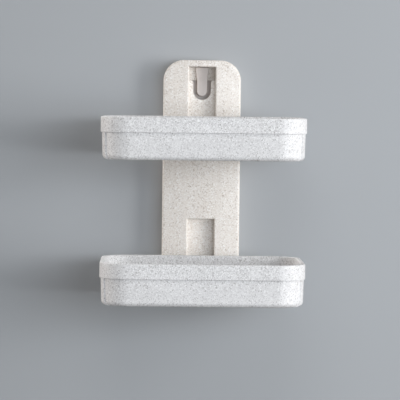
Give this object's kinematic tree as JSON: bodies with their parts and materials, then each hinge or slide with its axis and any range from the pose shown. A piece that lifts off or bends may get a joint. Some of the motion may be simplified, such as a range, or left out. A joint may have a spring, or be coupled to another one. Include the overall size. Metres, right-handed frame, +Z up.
{
  "type": "soap hanger",
  "caption": "Wall-hung soap hanger: a tall moulded plate on an adhesive wall hook carries stacked lift-off soap dishes with slotted drain plates.",
  "frame": {"origin": "centre of the adhesive pad's wall side, on the wall plane", "axes": "+X to the right as seen from the room, +Y into the wall, +Z up"},
  "size_m": [0.13, 0.1035, 0.1556],
  "materials": {
    "plate_plastic": "satin cream-white moulding with fine straw-brown and pale specks",
    "dish_plastic": "satin cool white moulding with fine grey and white specks",
    "hook_plastic": "smooth warm grey moulding",
    "clear_pad": "clear adhesive sheet"
  },
  "bodies": {
    "wall_mount": {"adhesive_pad": "clear_pad", "wall_hook": "hook_plastic"},
    "plate": {"back_plate": "plate_plastic"},
    "upper_dish": {"upper_dish": "dish_plastic"},
    "upper_drain_plate": {"upper_drain_plate": "dish_plastic"},
    "lower_dish": {"lower_dish": "dish_plastic"},
    "lower_drain_plate": {"lower_drain_plate": "dish_plastic"}
  },
  "joints": [
    {"name": "plate_lift", "type": "slide", "parent": "wall_mount", "child": "plate", "axis": [0, 0, 1], "range_m": [0, 0.01]},
    {"name": "upper_dish_lift", "type": "slide", "parent": "plate", "child": "upper_dish", "axis": [0, 0, 1], "range_m": [0, 0.012]},
    {"name": "upper_drain_plate_lift", "type": "slide", "parent": "upper_dish", "child": "upper_drain_plate", "axis": [0, 0, 1], "range_m": [0, 0.022]},
    {"name": "lower_dish_lift", "type": "slide", "parent": "plate", "child": "lower_dish", "axis": [0, 0, 1], "range_m": [0, 0.012]},
    {"name": "lower_drain_plate_lift", "type": "slide", "parent": "lower_dish", "child": "lower_drain_plate", "axis": [0, 0, 1], "range_m": [0, 0.022]}
  ]
}
